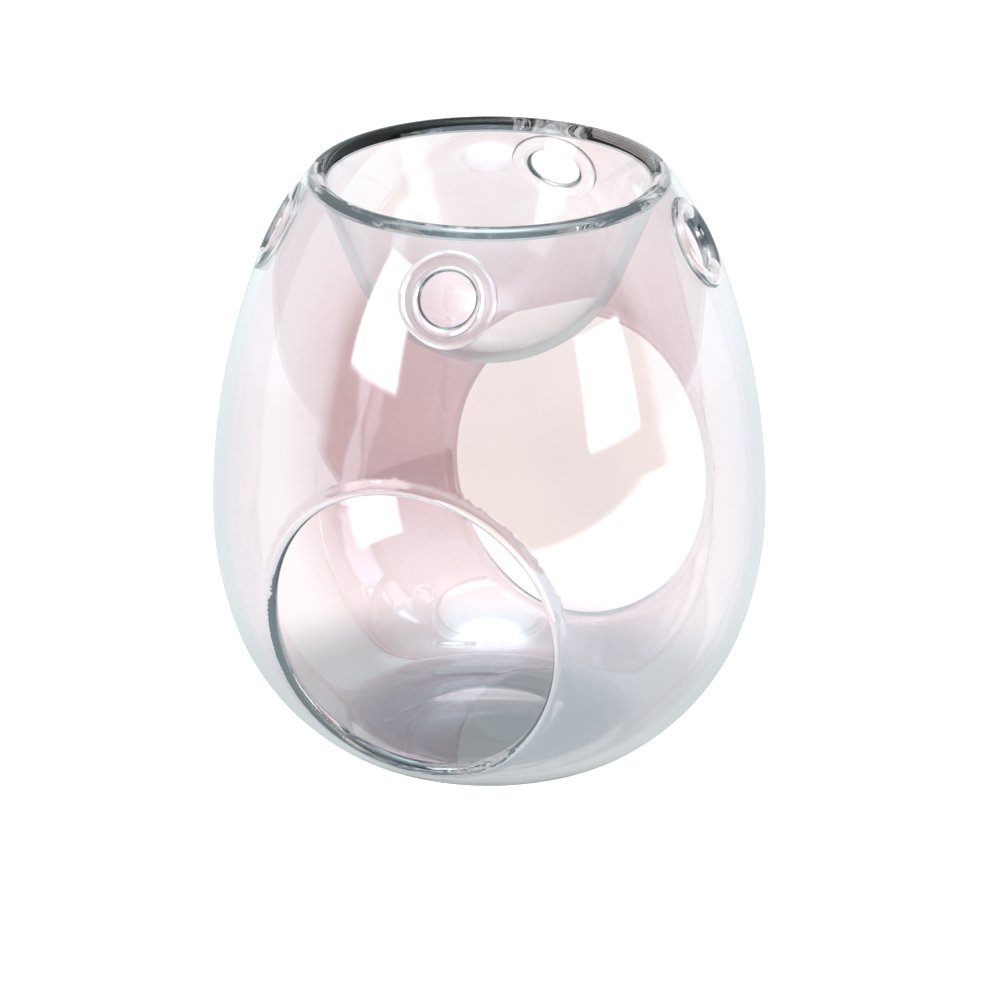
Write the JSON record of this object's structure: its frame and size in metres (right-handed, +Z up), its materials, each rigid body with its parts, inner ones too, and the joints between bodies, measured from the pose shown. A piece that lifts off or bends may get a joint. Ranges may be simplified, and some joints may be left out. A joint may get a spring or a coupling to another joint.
{
  "type": "wax melt warmer",
  "caption": "Rounded clear lustre-glass wax melt warmer: tealight shell open front and back, vents in the shoulder, and a deep melt dish sealed into its rolled rim.",
  "frame": {"origin": "centre of the foot at the level of the surface that it stands on", "axes": "+Z up along the glass's axis, -Y towards the front opening, +X to the right of someone who faces it"},
  "size_m": [0.11, 0.1063, 0.12],
  "materials": {
    "lustre_glass": "clear blown glass with a pearl lustre, pink-brown in transmission and lavender-blue in reflection",
    "dish_glass": "clear blown glass with a fainter pearl lustre"
  },
  "bodies": {
    "root": {"outer_shell": "lustre_glass", "melt_dish": "dish_glass"}
  },
  "joints": []
}
